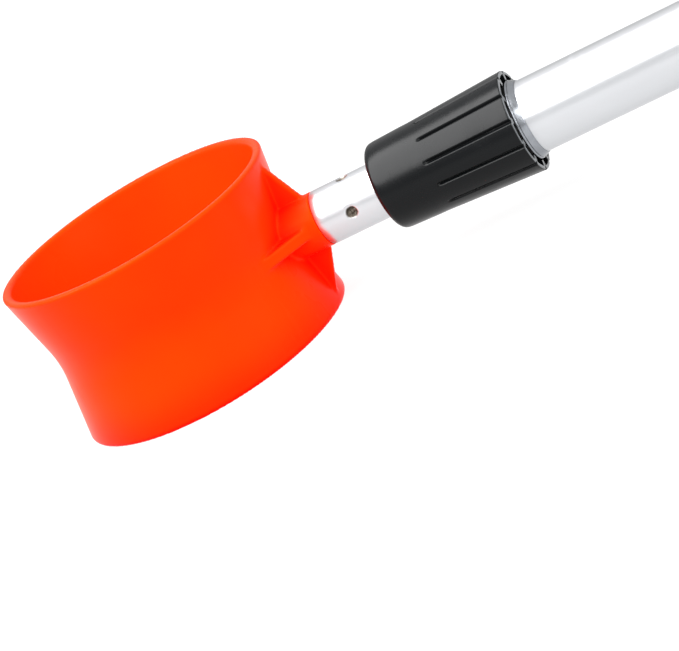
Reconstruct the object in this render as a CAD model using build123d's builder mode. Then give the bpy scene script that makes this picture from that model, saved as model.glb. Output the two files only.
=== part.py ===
from build123d import *
import os

# A telescoping golf ball retriever with a two-way trap ring, at rest in its collapsed state.
#
# +X runs along the shaft from the trap ring to the butt, and +Z is the ring's own axis. The origin is
# under the middle of the object, level with the ring's lower rim. A station is a distance along the
# shaft from the ring's axis. All sizes are in millimetres.

os.makedirs("parts", exist_ok=True)

# ---- driving dimensions ---------------------------------------------------------------------------

# trap ring: a moulded hourglass band, wide at both mouths and narrow at its waist; the mouth's corner
# radius is before its lip is rounded, and the reach is after
mouth_radius = 26.3
mouth_reach = 26.2
ring_height = 30.0
waist_corner_radius = 23.75
waist_blend = 20.0
ring_wall = 1.7
lip_round = 0.55

# neck of the trap ring: a round boss in line with the tube, braced by four webs, and a hidden spigot
boss_end = 30.8
boss_root = 23.4
upright_web_thick = 1.3
level_web_thick = 2.2
spigot_end = 50.0

# spring plunger inside the neck
plunger_tip = 18.6
plunger_radius = 1.8
plunger_shoulder = 26.0
plunger_bore = 2.6
spring_wire = 0.45
spring_mean_radius = 2.0
spring_turns = 9

# tubes, by outer radius
tip_tube_radius = 5.0
mid_tube_radius = 6.5
base_tube_radius = 8.0
tube_wall = 0.8
tip_tube_end = 980.0
mid_tube_end = 1000.0

# staked dimples that hold the tip tube on the neck's spigot
stake_station = 37.3
stake_count = 4
stake_pit = 1.0
stake_radius = 1.5
stake_reach = 4.0

# twist collars: the two stations where their small ends stand, and the shape they share
tip_collar_station = 43.15
mid_collar_station = 112.1
collar_length = 26.95
collar_lobes = 12
first_groove_angle = 8.8

# handle end
grip_start = 758.0
grip_front_radius = 10.6
grip_butt_radius = 13.4
butt_station = 1034.0
cap_plate = 7.0
cap_radius = ring_height / 2

# clearances
bonded = 0.02
running = 0.08

# ---- places that follow from them -----------------------------------------------------------------

ring_x = mouth_reach - (mouth_reach + butt_station) / 2
axis_z = ring_height / 2
handle_inner_end = butt_station - cap_plate - 0.1

shaft = Axis((ring_x, 0, axis_z), (1, 0, 0))
ring_axis = Axis((ring_x, 0, axis_z), (0, 0, 1))
# upright plane through the shaft: local x is the station, local y the height above the shaft
upright = Plane(origin=(ring_x, 0, axis_z), x_dir=(1, 0, 0), z_dir=(0, -1, 0))
# level plane through the shaft: local x is the station, local y points across it
level = Plane(origin=(ring_x, 0, axis_z), x_dir=(1, 0, 0), z_dir=(0, 0, 1))
# turns a cylinder so that it points away from the shaft
radial = (0, 90, 0)


def across(station):
    """Plane square to the shaft at a station, facing the butt."""
    return Plane(origin=(ring_x + station, 0, axis_z), x_dir=(0, 1, 0), z_dir=(1, 0, 0))


def outline(points, rounds=None):
    """Closed face on the upright plane; rounds gives each corner's radius, or none at all."""
    with BuildSketch(upright) as face:
        with BuildLine():
            if rounds:
                FilletPolyline(*points, radius=rounds, close=True)
            else:
                Polyline(*points, close=True)
        make_face()
    return face.sketch


def sleeve(start, end, inner, outer):
    """Section of a plain round sleeve about the shaft."""
    return outline([(start, inner), (end, inner), (end, outer), (start, outer)])


def save(piece, name):
    piece.part.label = name
    export_step(piece.part, f"parts/{name}.step")


# ---- trap ring ------------------------------------------------------------------------------------

half = ring_height / 2
inner_mouth = mouth_radius - ring_wall
inner_waist = waist_corner_radius - ring_wall
web_top = 13.2
web_foot = 29.4
level_web_end = 28.8

with BuildPart() as trap_ring:
    band = outline(
        [
            (mouth_radius, half),
            (waist_corner_radius, 0),
            (mouth_radius, -half),
            (inner_mouth, -half),
            (inner_waist, 0),
            (inner_mouth, half),
        ],
        [lip_round, waist_blend, lip_round, lip_round, waist_blend, lip_round],
    )
    revolve(band, axis=ring_axis)
    # boss that meets the tube end to end
    revolve(sleeve(boss_root, boss_end, 0, tip_tube_radius), axis=shaft)
    # spigot inside the tube
    spigot_radius = tip_tube_radius - tube_wall - 0.05
    revolve(sleeve(boss_end, spigot_end, 0, spigot_radius), axis=shaft)
    # upright webs, above and below the boss, slanting from near the lips to the boss
    for side in (1, -1):
        with BuildSketch(upright) as upright_web:
            with BuildLine():
                Polyline(
                    (25.9, side * web_top),
                    (web_foot, side * (tip_tube_radius - 0.1)),
                    (web_foot, 0),
                    (boss_root, 0),
                    (24.9, side * 12.0),
                    close=True,
                )
            make_face()
        extrude(amount=upright_web_thick / 2, both=True)
    # level webs, from the sides of the boss to the ring's waist
    for side in (1, -1):
        with BuildSketch(level) as level_web:
            with BuildLine():
                Polyline(
                    (level_web_end, side * (tip_tube_radius - 0.3)),
                    (20.5, side * 12.1),
                    (21.5, side * 8.5),
                    (boss_root, 0),
                    (level_web_end, 0),
                    close=True,
                )
            make_face()
        extrude(amount=level_web_thick / 2, both=True)
    # way for the plunger and its spring
    way = sleeve(plunger_tip, plunger_shoulder, 0, plunger_radius + running)
    revolve(way, axis=shaft, mode=Mode.SUBTRACT)
    pocket = sleeve(plunger_shoulder, spigot_end, 0, plunger_bore)
    revolve(pocket, axis=shaft, mode=Mode.SUBTRACT)
    # sockets that the tube's dimples are staked into
    with Locations(across(stake_station)):
        with PolarLocations(stake_reach, stake_count):
            Cylinder(stake_radius + 0.1, 1.4, rotation=radial, mode=Mode.SUBTRACT)
save(trap_ring, "trap_ring")

# ---- spring plunger -------------------------------------------------------------------------------

flange_start = plunger_shoulder + 0.05
flange_end = flange_start + 2.0
tail_end = flange_end + 4.0
seat_front = 45.0

with BuildPart() as trap_plunger:
    plunger_face = outline(
        [
            (plunger_tip, 0),
            (plunger_tip, plunger_radius),
            (flange_start, plunger_radius),
            (flange_start, plunger_bore - running),
            (flange_end, plunger_bore - running),
            (flange_end, 1.2),
            (tail_end, 1.2),
            (tail_end, 0),
        ],
        [0, 1.3, 0, 0, 0, 0, 0.3, 0],
    )
    revolve(plunger_face, axis=shaft)
save(trap_plunger, "trap_plunger")

spring_start = flange_end + spring_wire / 2 + 0.02
spring_length = seat_front - spring_wire / 2 - 0.02 - spring_start

with BuildPart() as plunger_spring:
    with BuildLine() as coil:
        Helix(
            pitch=spring_length / spring_turns,
            height=spring_length,
            radius=spring_mean_radius,
            center=(ring_x + spring_start, 0, axis_z),
            direction=(1, 0, 0),
        )
    with BuildSketch(Plane(origin=coil.line @ 0, z_dir=coil.line % 0)):
        Circle(spring_wire / 2)
    sweep(path=coil.line, is_frenet=True)
save(plunger_spring, "plunger_spring")

with BuildPart() as spring_seat:
    seat_face = outline(
        [
            (seat_front - 3.0, 0),
            (seat_front - 3.0, 1.2),
            (seat_front, 1.2),
            (seat_front, plunger_bore - bonded),
            (spigot_end, plunger_bore - bonded),
            (spigot_end, 0),
        ]
    )
    revolve(seat_face, axis=shaft)
save(spring_seat, "spring_seat")

# ---- tubes ----------------------------------------------------------------------------------------

with BuildPart() as tip_tube:
    wall = sleeve(boss_end, tip_tube_end, tip_tube_radius - tube_wall, tip_tube_radius)
    revolve(wall, axis=shaft)
    # each dimple is metal pushed inwards, with a tapered pit outside
    with Locations(across(stake_station)):
        with PolarLocations(stake_reach, stake_count):
            Cylinder(stake_radius, 1.2, rotation=radial)
        with PolarLocations(tip_tube_radius - stake_pit / 2, stake_count):
            Cone(0.5, 1.15, stake_pit + 0.4, rotation=radial, mode=Mode.SUBTRACT)
save(tip_tube, "tip_tube")

mid_tube_start = tip_collar_station + 9.2
base_tube_start = mid_collar_station + 9.2

with BuildPart() as mid_tube:
    wall = sleeve(mid_tube_start, mid_tube_end, mid_tube_radius - tube_wall, mid_tube_radius)
    revolve(wall, axis=shaft)
save(mid_tube, "mid_tube")

with BuildPart() as base_tube:
    wall = sleeve(base_tube_start, handle_inner_end, base_tube_radius - tube_wall, base_tube_radius)
    revolve(wall, axis=shaft)
save(base_tube, "base_tube")

# ---- twist collars and what they clamp ------------------------------------------------------------

collar_joints = [
    ("tip", tip_collar_station, tip_tube_radius, mid_tube_radius),
    ("mid", mid_collar_station, mid_tube_radius, base_tube_radius),
]
crest_start = 8.5
lip_depth = 2.0
cone_end = 8.0
groove_start = 10.4
groove_sink = 0.1
groove_depth = 1.5
groove_half_width = 0.5
pocket_depth = 9.0
pocket_height = 2.1
pocket_width = 3.4
first_lobe_angle = first_groove_angle + 180 / collar_lobes

for joint, station, inner_tube, outer_tube in collar_joints:
    small_end = outer_tube + 1.45
    valley = outer_tube + 1.7
    crest = outer_tube + 2.65
    thread_bore = outer_tube + 0.88
    wide_end = station + collar_length

    # collar: smooth nose, then lobes that rise to the wide end between narrow grooves
    with BuildPart() as collar:
        shell = outline(
            [
                (station, inner_tube + 0.3),
                (station, small_end),
                (station + 7.0, valley),
                (station + crest_start, valley + 0.02),
                (wide_end, crest),
                (wide_end, thread_bore),
                (station + cone_end, thread_bore),
                (station + cone_end, outer_tube + 0.7),
                (station + lip_depth, outer_tube - 0.05),
                (station + lip_depth, inner_tube + 0.3),
            ],
            [0.2, 1.2, 0, 0, 0.25, 0, 0, 0, 0, 0],
        )
        revolve(shell, axis=shaft)
        with BuildSketch(across(wide_end)):
            groove_root = valley - groove_sink
            with PolarLocations(groove_root, collar_lobes, start_angle=first_groove_angle):
                Polygon(
                    (0, 0),
                    (groove_depth, groove_half_width),
                    (groove_depth, -groove_half_width),
                    align=None,
                )
        extrude(amount=-(collar_length - groove_start), mode=Mode.SUBTRACT)
        # hollow under each lobe, open at the wide end
        with BuildSketch(across(wide_end)):
            with PolarLocations(thread_bore, collar_lobes, start_angle=first_lobe_angle):
                Rectangle(pocket_height, pocket_width)
        extrude(amount=-pocket_depth, mode=Mode.SUBTRACT)
    save(collar, f"{joint}_collar")

    # threaded sleeve bonded on the outer tube's end, with a shoulder that also stops the inner tube
    with BuildPart() as thread_sleeve:
        sleeve_face = outline(
            [
                (station + cone_end + 0.2, inner_tube + 0.2),
                (station + cone_end + 0.2, outer_tube + 0.8),
                (wide_end - 3.0, outer_tube + 0.8),
                (wide_end - 3.0, outer_tube + bonded),
                (station + 9.2, outer_tube + bonded),
                (station + 9.2, inner_tube + 0.2),
            ]
        )
        revolve(sleeve_face, axis=shaft)
    save(thread_sleeve, f"{joint}_thread_sleeve")

    # split cone ring that the collar squeezes on to the inner tube
    with BuildPart() as clamp_ring:
        cone_face = outline(
            [
                (station + 2.5, inner_tube + running),
                (station + 2.5, outer_tube - 0.15),
                (station + cone_end + 0.1, outer_tube + 0.6),
                (station + cone_end + 0.1, inner_tube + running),
            ]
        )
        revolve(cone_face, axis=shaft)
        with BuildSketch(across(station)):
            with Locations((0, outer_tube)):
                Rectangle(1.2, 4.0)
        extrude(amount=collar_length, mode=Mode.SUBTRACT)
    save(clamp_ring, f"{joint}_clamp_ring")

    # bevelled metal ring that keeps the collar from running off its thread
    with BuildPart() as collar_ring:
        ring_face = outline(
            [
                (wide_end + 0.1, outer_tube + bonded),
                (wide_end + 0.1, outer_tube + 0.8),
                (wide_end + 1.6, outer_tube + 0.15),
                (wide_end + 1.6, outer_tube + bonded),
            ],
            [0, 0.1, 0.05, 0],
        )
        revolve(ring_face, axis=shaft)
    save(collar_ring, f"{joint}_collar_ring")

# ---- glides and stop sleeves on the hidden ends of the two inner tubes -----------------------------

hidden_ends = [
    ("tip", tip_tube_end, tip_tube_radius, mid_tube_radius),
    ("mid", mid_tube_end, mid_tube_radius, base_tube_radius),
]
glide_stem = 12.0
glide_flange = 4.0
stop_length = 60.0

for joint, tube_end, inner_tube, outer_tube in hidden_ends:
    outer_bore = outer_tube - tube_wall

    # glide: the tube turns on its stem, and its flange runs in the outer tube
    with BuildPart() as glide:
        stem_radius = inner_tube - tube_wall - 0.05
        glide_face = outline(
            [
                (tube_end - glide_stem, 2.0),
                (tube_end - glide_stem, stem_radius),
                (tube_end + 0.05, stem_radius),
                (tube_end + 0.05, outer_bore - running),
                (tube_end + glide_flange, outer_bore - running),
                (tube_end + glide_flange, 2.0),
            ]
        )
        revolve(glide_face, axis=shaft)
    save(glide, f"{joint}_glide")

    # stop sleeve: bonded on the tube, it meets the thread sleeve's shoulder at full length
    with BuildPart() as stop_sleeve:
        stop_start = tube_end - stop_length - 5.0
        wall = sleeve(stop_start, tube_end - 5.0, inner_tube + bonded, outer_bore - 0.1)
        revolve(wall, axis=shaft)
    save(stop_sleeve, f"{joint}_stop_sleeve")

# ---- handle end -----------------------------------------------------------------------------------

bumper_start = mid_tube_end + glide_flange + 2.0
plug_start = bumper_start + 6.0
base_bore = base_tube_radius - tube_wall
screw_radius = 1.35
head_radius = 3.2
head_depth = 2.0
head_face = butt_station - 0.2

with BuildPart() as butt_bumper:
    revolve(sleeve(bumper_start, plug_start, 2.0, base_bore - running), axis=shaft)
save(butt_bumper, "butt_bumper")

with BuildPart() as butt_plug:
    pilot = screw_radius + bonded
    revolve(sleeve(plug_start, handle_inner_end, pilot, base_bore - bonded), axis=shaft)
save(butt_plug, "butt_plug")

with BuildPart() as grip:
    grip_face = outline(
        [
            (grip_start, base_tube_radius + bonded),
            (grip_start, grip_front_radius),
            (grip_start + 5.0, grip_front_radius + 0.3),
            (grip_start + 8.0, grip_front_radius - 0.2),
            (grip_start + 90.0, 11.6),
            (handle_inner_end, grip_butt_radius),
            (handle_inner_end, base_tube_radius + bonded),
        ],
        [0, 1.0, 1.5, 1.5, 200.0, 0, 0],
    )
    revolve(grip_face, axis=shaft)
save(grip, "grip")

plate_start = butt_station - cap_plate

with BuildPart() as grip_cap:
    cup = outline(
        [
            (plate_start - 9.0, grip_butt_radius + 0.05),
            (plate_start - 9.0, grip_butt_radius + 0.9),
            (plate_start - 6.0, cap_radius),
            (butt_station, cap_radius),
            (butt_station, head_radius + 0.1),
            (head_face, head_radius + 0.1),
            (head_face - head_depth, screw_radius + 0.1),
            (plate_start, screw_radius + 0.1),
            (plate_start, grip_butt_radius + 0.05),
        ],
        [0, 0.3, 2.0, 2.5, 0, 0, 0, 0, 0],
    )
    revolve(cup, axis=shaft)
save(grip_cap, "grip_cap")

with BuildPart() as cap_screw:
    screw_face = outline(
        [
            (plug_start + 2.0, 0),
            (plug_start + 2.0, screw_radius),
            (head_face - head_depth, screw_radius),
            (head_face, head_radius),
            (head_face, 0),
        ]
    )
    revolve(screw_face, axis=shaft)
    # cross recess
    with BuildSketch(across(butt_station)):
        Rectangle(3.4, 0.7)
        Rectangle(0.7, 3.4)
    extrude(amount=-1.5, mode=Mode.SUBTRACT)
save(cap_screw, "cap_screw")
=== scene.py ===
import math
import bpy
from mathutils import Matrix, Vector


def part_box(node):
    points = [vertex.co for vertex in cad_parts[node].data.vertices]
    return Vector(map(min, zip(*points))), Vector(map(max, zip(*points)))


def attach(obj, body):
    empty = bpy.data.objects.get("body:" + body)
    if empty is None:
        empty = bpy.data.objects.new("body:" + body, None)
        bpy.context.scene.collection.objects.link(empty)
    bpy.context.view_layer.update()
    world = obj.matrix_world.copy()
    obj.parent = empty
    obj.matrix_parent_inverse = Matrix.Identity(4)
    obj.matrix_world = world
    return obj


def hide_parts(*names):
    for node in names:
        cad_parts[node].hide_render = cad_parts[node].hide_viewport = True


bl_info = {
    "name": "Golf Ball Retriever",
    "version": (1, 0, 0),
    "blender": (4, 5, 0),
    "location": "View3D > Sidebar > Retriever",
    "description": "Builds the finished look of a telescoping golf ball retriever on its packed frame",
    "category": "Add Mesh",
}

import bmesh
import bpy
import numpy as np
from mathutils import Matrix, Vector

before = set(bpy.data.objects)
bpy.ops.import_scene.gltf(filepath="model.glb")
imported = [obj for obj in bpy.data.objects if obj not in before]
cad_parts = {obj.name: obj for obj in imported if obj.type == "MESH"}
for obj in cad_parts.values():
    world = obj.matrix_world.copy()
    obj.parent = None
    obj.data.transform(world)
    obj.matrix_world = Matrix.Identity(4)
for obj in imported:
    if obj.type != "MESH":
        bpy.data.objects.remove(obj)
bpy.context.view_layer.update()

MM = 0.001
DOUBLES = 1e-7
ON_AXIS = 1e-6

# Places in the row frame, in metres. A station is a distance along the shaft from the ring's axis.
ring_low, ring_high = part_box("trap_ring")
MOUTH_REACH = (ring_high.y - ring_low.y) / 2
RING_X = ring_low.x + MOUTH_REACH
SHAFT_Z = (ring_low.z + ring_high.z) / 2
HALF_RING = (ring_high.z - ring_low.z) / 2


def stations(node):
    """First and last station of a CAD node, in millimetres."""
    low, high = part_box(node)
    return (low.x - RING_X) / MM, (high.x - RING_X) / MM


def radius_of(node):
    """Outer radius of a CAD node that is round about the shaft, in millimetres."""
    low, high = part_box(node)
    return (high.y - low.y) / 2 / MM


# ---- mesh helpers ---------------------------------------------------------------------------------


def eased(value):
    """A number held between 0 and 1, with its ends eased."""
    value = max(0.0, min(1.0, value))
    return value * value * (3 - 2 * value)


def rounded(corners, steps=6):
    """Points of a closed outline whose corners (station, radius, rounding) are turned into arcs."""
    points = []
    count = len(corners)
    for index, (x, y, rounding) in enumerate(corners):
        here = Vector((x, y))
        if rounding <= 0:
            points.append(here)
            continue
        back = (Vector(corners[index - 1][:2]) - here).normalized()
        ahead = (Vector(corners[(index + 1) % count][:2]) - here).normalized()
        half_angle = back.angle(ahead) / 2
        reach = rounding / math.tan(half_angle)
        centre = here + (back + ahead).normalized() * (rounding / math.sin(half_angle))
        start = here + back * reach - centre
        end = here + ahead * reach - centre
        turn = start.angle_signed(end)
        for step in range(steps + 1):
            spoke = start.copy()
            spoke.rotate(Matrix.Rotation(-turn * step / steps, 2))
            points.append(centre + spoke)
    return points


def new_object(name, mesh, smooth=True):
    """Links a mesh to the scene, shaded smooth."""
    if smooth:
        mesh.shade_smooth()
    piece = bpy.data.objects.new(name, mesh)
    bpy.context.scene.collection.objects.link(piece)
    return piece


def turn_outward(mesh, merge=0.0):
    """Turns a mesh's faces outward, after merging points closer than merge."""
    work = bmesh.new()
    work.from_mesh(mesh)
    if merge > 0:
        bmesh.ops.remove_doubles(work, verts=work.verts, dist=merge)
    bmesh.ops.recalc_face_normals(work, faces=work.faces)
    work.to_mesh(mesh)
    work.free()


def mesh_from(name, vertices, faces):
    """A mesh from millimetre points about the shaft, moved to the row frame, with faces outward."""
    mesh = bpy.data.meshes.new(name)
    placed = np.asarray(vertices, float) * MM + np.array((RING_X, 0.0, SHAFT_Z))
    mesh.from_pydata(placed.tolist(), [], faces)
    turn_outward(mesh, DOUBLES)
    return mesh


def hoop_faces(columns, rows, on_axis=()):
    """Faces of a closed hoop of closed outlines; edges whose two rows lie on the axis get none."""
    faces = []
    for column in range(columns):
        here = column * rows
        there = (column + 1) % columns * rows
        for row in range(rows):
            after = (row + 1) % rows
            if row in on_axis and after in on_axis:
                continue
            faces.append((here + row, here + after, there + after, there + row))
    return faces


def turned(name, corners, segments=96, steps=6, sharp=32.0):
    """A piece of revolution about the shaft from a closed outline of (station, radius, rounding)."""
    outline = rounded(corners, steps)
    rows = len(outline)
    vertices = []
    for segment in range(segments):
        angle = 2 * math.pi * segment / segments
        for station, radius in outline:
            vertices.append((station, radius * math.cos(angle), radius * math.sin(angle)))
    on_axis = {row for row in range(rows) if outline[row].y < ON_AXIS}
    mesh = mesh_from(name, vertices, hoop_faces(segments, rows, on_axis))
    mesh.shade_smooth()
    mesh.set_sharp_from_angle(angle=math.radians(sharp))
    return new_object(name, mesh, smooth=False)


def finish_piece(piece, material, slot, body, *nodes):
    """Gives a finished piece its material and body, and hides the CAD nodes it stands for; the slot
    argument is not used.
    """
    piece.data.materials.clear()
    piece.data.materials.append(material)
    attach(piece, body)
    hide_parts(*nodes)


def dress_node(node, material):
    """Gives a CAD node that stays visible its material."""
    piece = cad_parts[node]
    if not piece.material_slots:
        piece.data.materials.append(material)
    for slot in piece.material_slots:
        slot.material = material


# ---- distance fields, for moulded shapes with soft inner corners -----------------------------------


def soft_union(first, second, blend):
    """Joins two distance fields with a fillet about as large as blend."""
    mix = np.clip(0.5 + 0.5 * (second - first) / blend, 0, 1)
    return second + (first - second) * mix - blend * mix * (1 - mix)


def rounded_meet(first, second, rounding):
    """Common part of two distance fields, with a rounded outer edge."""
    first = first + rounding
    second = second + rounding
    outside = np.hypot(np.maximum(first, 0), np.maximum(second, 0))
    return np.minimum(np.maximum(first, second), 0) + outside - rounding


def skin(field, low, high, step):
    """Closed quads on the zero level of a distance field, by averaging each cell's edge crossings."""
    axes = [np.arange(low[axis], high[axis] + step, step) for axis in range(3)]
    grid = np.meshgrid(*axes, indexing="ij")
    value = field(*grid)
    inside = value < 0
    cells = tuple(size - 1 for size in value.shape)
    total = np.zeros(cells + (3,))
    hits = np.zeros(cells)
    crossings = []
    for axis in range(3):
        near = tuple(slice(None, -1) if side == axis else slice(None) for side in range(3))
        far = tuple(slice(1, None) if side == axis else slice(None) for side in range(3))
        crossed = inside[near] != inside[far]
        share = np.zeros(crossed.shape)
        share[crossed] = value[near][crossed] / (value[near][crossed] - value[far][crossed])
        point = np.stack([grid[side][near] for side in range(3)], -1)
        point[..., axis] += share * step
        point *= crossed[..., None]
        others = [side for side in range(3) if side != axis]
        for first in (0, 1):
            for second in (0, 1):
                window = [slice(None)] * 3
                window[others[0]] = slice(first, first + cells[others[0]])
                window[others[1]] = slice(second, second + cells[others[1]])
                total += point[tuple(window)]
                hits += crossed[tuple(window)]
        crossings.append((crossed, inside[near], others))
    active = hits > 0
    number = np.full(cells, -1)
    number[active] = np.arange(active.sum())
    vertices = total[active] / hits[active][:, None]
    faces = []
    for axis, (crossed, starts_inside, others) in enumerate(crossings):
        at = np.argwhere(crossed)
        flip = starts_inside[crossed]
        corners = []
        for first, second in ((-1, -1), (0, -1), (0, 0), (-1, 0)):
            cell = at.copy()
            cell[:, others[0]] += first
            cell[:, others[1]] += second
            corners.append(number[tuple(cell.T)])
        quads = np.stack(corners, 1)
        if axis == 1:
            flip = ~flip
        quads[~flip] = quads[~flip][:, ::-1]
        faces.append(quads)
    return vertices, np.concatenate(faces)


def settle(field, vertices, rounds=4, nudge=0.01):
    """Moves points on to the zero level of a distance field along its slope."""
    for _ in range(rounds):
        value = field(*vertices.T)
        slope = np.empty_like(vertices)
        for axis in range(3):
            ahead = vertices.copy()
            behind = vertices.copy()
            ahead[:, axis] += nudge
            behind[:, axis] -= nudge
            slope[:, axis] = (field(*ahead.T) - field(*behind.T)) / (2 * nudge)
        length = np.maximum((slope**2).sum(1), 0.2)
        vertices = vertices - slope * np.clip(value / length, -0.2, 0.2)[:, None]
    return vertices


# ---- geometry node trees --------------------------------------------------------------------------


class Tree:
    """Small helper that adds and links nodes in a node tree."""

    def __init__(self, tree):
        self.tree = tree

    def add(self, kind, inputs=None, **settings):
        node = self.tree.nodes.new(kind)
        for name, value in settings.items():
            setattr(node, name, value)
        for key, value in (inputs or {}).items():
            if isinstance(value, bpy.types.NodeSocket):
                self.tree.links.new(value, node.inputs[key])
            else:
                node.inputs[key].default_value = value
        return node

    def math(self, operation, *values):
        node = self.add("ShaderNodeMath", operation=operation)
        for index, value in enumerate(values):
            if isinstance(value, bpy.types.NodeSocket):
                self.tree.links.new(value, node.inputs[index])
            else:
                node.inputs[index].default_value = value
        return node.outputs[0]


def geometry_tree(name, sizes):
    """An empty geometry tree with a mesh input, a material and named number inputs."""
    group = bpy.data.node_groups.new(name, "GeometryNodeTree")
    group.interface.new_socket("Geometry", in_out="INPUT", socket_type="NodeSocketGeometry")
    group.interface.new_socket("Geometry", in_out="OUTPUT", socket_type="NodeSocketGeometry")
    group.interface.new_socket("Material", in_out="INPUT", socket_type="NodeSocketMaterial")
    for label, (kind, value) in sizes.items():
        socket = group.interface.new_socket(label, in_out="INPUT", socket_type=f"NodeSocket{kind}")
        socket.default_value = value
    tree = Tree(group)
    source = tree.add("NodeGroupInput").outputs
    return group, tree, source


def close_tree(tree, geometry, material):
    """Ends a geometry tree in real geometry with its material set."""
    real = tree.add("GeometryNodeRealizeInstances", {"Geometry": geometry})
    merged = tree.add("GeometryNodeMergeByDistance", {"Geometry": real.outputs[0], "Distance": 2e-6})
    painted = tree.add("GeometryNodeSetMaterial", {"Geometry": merged.outputs[0], "Material": material})
    out = tree.add("NodeGroupOutput")
    tree.tree.links.new(painted.outputs[0], out.inputs[0])


def repeat_around_tree():
    """Copies one sector evenly around the shaft and welds the copies together."""
    group, tree, source = geometry_tree(
        "repeat_around_shaft",
        {"Count": ("Int", 12), "First Angle": ("Float", 0.0), "Centre": ("Vector", (0, 0, 0))},
    )
    line = tree.add(
        "GeometryNodeMeshLine", {"Count": source["Count"], "Offset": (0, 0, 0)}, mode="OFFSET"
    )
    index = tree.add("GeometryNodeInputIndex").outputs[0]
    step = tree.math("DIVIDE", math.tau, source["Count"])
    angle = tree.math("MULTIPLY_ADD", index, step, source["First Angle"])
    turn = tree.add("ShaderNodeCombineXYZ", {"X": angle})
    spin = tree.add("FunctionNodeEulerToRotation", {0: turn.outputs[0]})
    copies = tree.add(
        "GeometryNodeInstanceOnPoints",
        {
            "Points": line.outputs[0],
            "Instance": source["Geometry"],
            "Rotation": spin.outputs[0],
        },
    )
    placed = tree.add(
        "GeometryNodeTransform",
        {"Geometry": copies.outputs[0], "Translation": source["Centre"]},
    )
    close_tree(tree, placed.outputs[0], source["Material"])
    return group


def coil_tree():
    """A wire coil wound along +X from its centre."""
    group, tree, source = geometry_tree(
        "wire_coil",
        {
            "Turns": ("Float", 9.0),
            "Coil Radius": ("Float", 0.002),
            "Wire Radius": ("Float", 0.0002),
            "Length": ("Float", 0.016),
            "Centre": ("Vector", (0, 0, 0)),
        },
    )
    spiral = tree.add(
        "GeometryNodeCurveSpiral",
        {
            "Resolution": 40,
            "Rotations": source["Turns"],
            "Start Radius": source["Coil Radius"],
            "End Radius": source["Coil Radius"],
            "Height": source["Length"],
        },
    )
    wire = tree.add(
        "GeometryNodeCurvePrimitiveCircle", {"Resolution": 10, "Radius": source["Wire Radius"]}
    )
    swept = tree.add(
        "GeometryNodeCurveToMesh",
        {"Curve": spiral.outputs[0], "Profile Curve": wire.outputs[0], "Fill Caps": True},
    )
    placed = tree.add(
        "GeometryNodeTransform",
        {
            "Geometry": swept.outputs[0],
            "Rotation": (0, math.pi / 2, 0),
            "Translation": source["Centre"],
        },
    )
    smooth = tree.add("GeometryNodeSetShadeSmooth", {"Geometry": placed.outputs[0]})
    close_tree(tree, smooth.outputs[0], source["Material"])
    return group


def stud_rows_tree():
    """Sets staggered rows of one small stud on a tapered body about the shaft."""
    group, tree, source = geometry_tree(
        "stud_rows",
        {
            "Stud": ("Object", None),
            "Rows": ("Int", 40),
            "Around": ("Int", 20),
            "Pitch": ("Float", 0.004),
            "First Radius": ("Float", 0.011),
            "Taper": ("Float", 0.01),
            "Start": ("Vector", (0, 0, 0)),
        },
    )
    count = tree.math("MULTIPLY", source["Rows"], source["Around"])
    line = tree.add("GeometryNodeMeshLine", {"Count": count, "Offset": (0, 0, 0)}, mode="OFFSET")
    index = tree.add("GeometryNodeInputIndex").outputs[0]
    row = tree.math("FLOOR", tree.math("DIVIDE", tree.math("ADD", index, 0.5), source["Around"]))
    column = tree.math("SUBTRACT", index, tree.math("MULTIPLY", row, source["Around"]))
    stagger = tree.math("MULTIPLY", tree.math("MODULO", row, 2.0), 0.5)
    turn = tree.math("DIVIDE", tree.math("ADD", column, stagger), source["Around"])
    angle = tree.math("MULTIPLY", turn, math.tau)
    along = tree.math("MULTIPLY", row, source["Pitch"])
    radius = tree.math("MULTIPLY_ADD", along, source["Taper"], source["First Radius"])
    across = tree.math("MULTIPLY", tree.math("COSINE", angle), radius)
    height = tree.math("MULTIPLY", tree.math("SINE", angle), radius)
    offset = tree.add("ShaderNodeCombineXYZ", {"X": along, "Y": across, "Z": height})
    place = tree.add(
        "ShaderNodeVectorMath", {0: offset.outputs[0], 1: source["Start"]}, operation="ADD"
    )
    spots = tree.add(
        "GeometryNodeSetPosition", {"Geometry": line.outputs[0], "Position": place.outputs[0]}
    )
    stud = tree.add("GeometryNodeObjectInfo", {"Object": source["Stud"]})
    euler = tree.add("ShaderNodeCombineXYZ", {"X": angle})
    spin = tree.add("FunctionNodeEulerToRotation", {0: euler.outputs[0]})
    studs = tree.add(
        "GeometryNodeInstanceOnPoints",
        {
            "Points": spots.outputs[0],
            "Instance": stud.outputs["Geometry"],
            "Rotation": spin.outputs[0],
        },
    )
    joined = tree.add("GeometryNodeJoinGeometry")
    tree.tree.links.new(studs.outputs[0], joined.inputs[0])
    tree.tree.links.new(source["Geometry"], joined.inputs[0])
    close_tree(tree, joined.outputs[0], source["Material"])
    return group


def grow(piece, tree, **values):
    """Runs a geometry tree on a piece and keeps the result as its plain mesh."""
    modifier = piece.modifiers.new("grow", "NODES")
    modifier.node_group = tree
    wanted = {name.replace("_", " ").title(): value for name, value in values.items()}
    for item in tree.interface.items_tree:
        if item.item_type == "SOCKET" and item.in_out == "INPUT" and item.name in wanted:
            modifier[item.identifier] = wanted[item.name]
    bpy.context.view_layer.update()
    graph = bpy.context.evaluated_depsgraph_get()
    result = bpy.data.meshes.new_from_object(piece.evaluated_get(graph))
    piece.modifiers.remove(modifier)
    result.name = piece.name
    piece.data = result
    return piece


# ---- materials ------------------------------------------------------------------------------------


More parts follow.
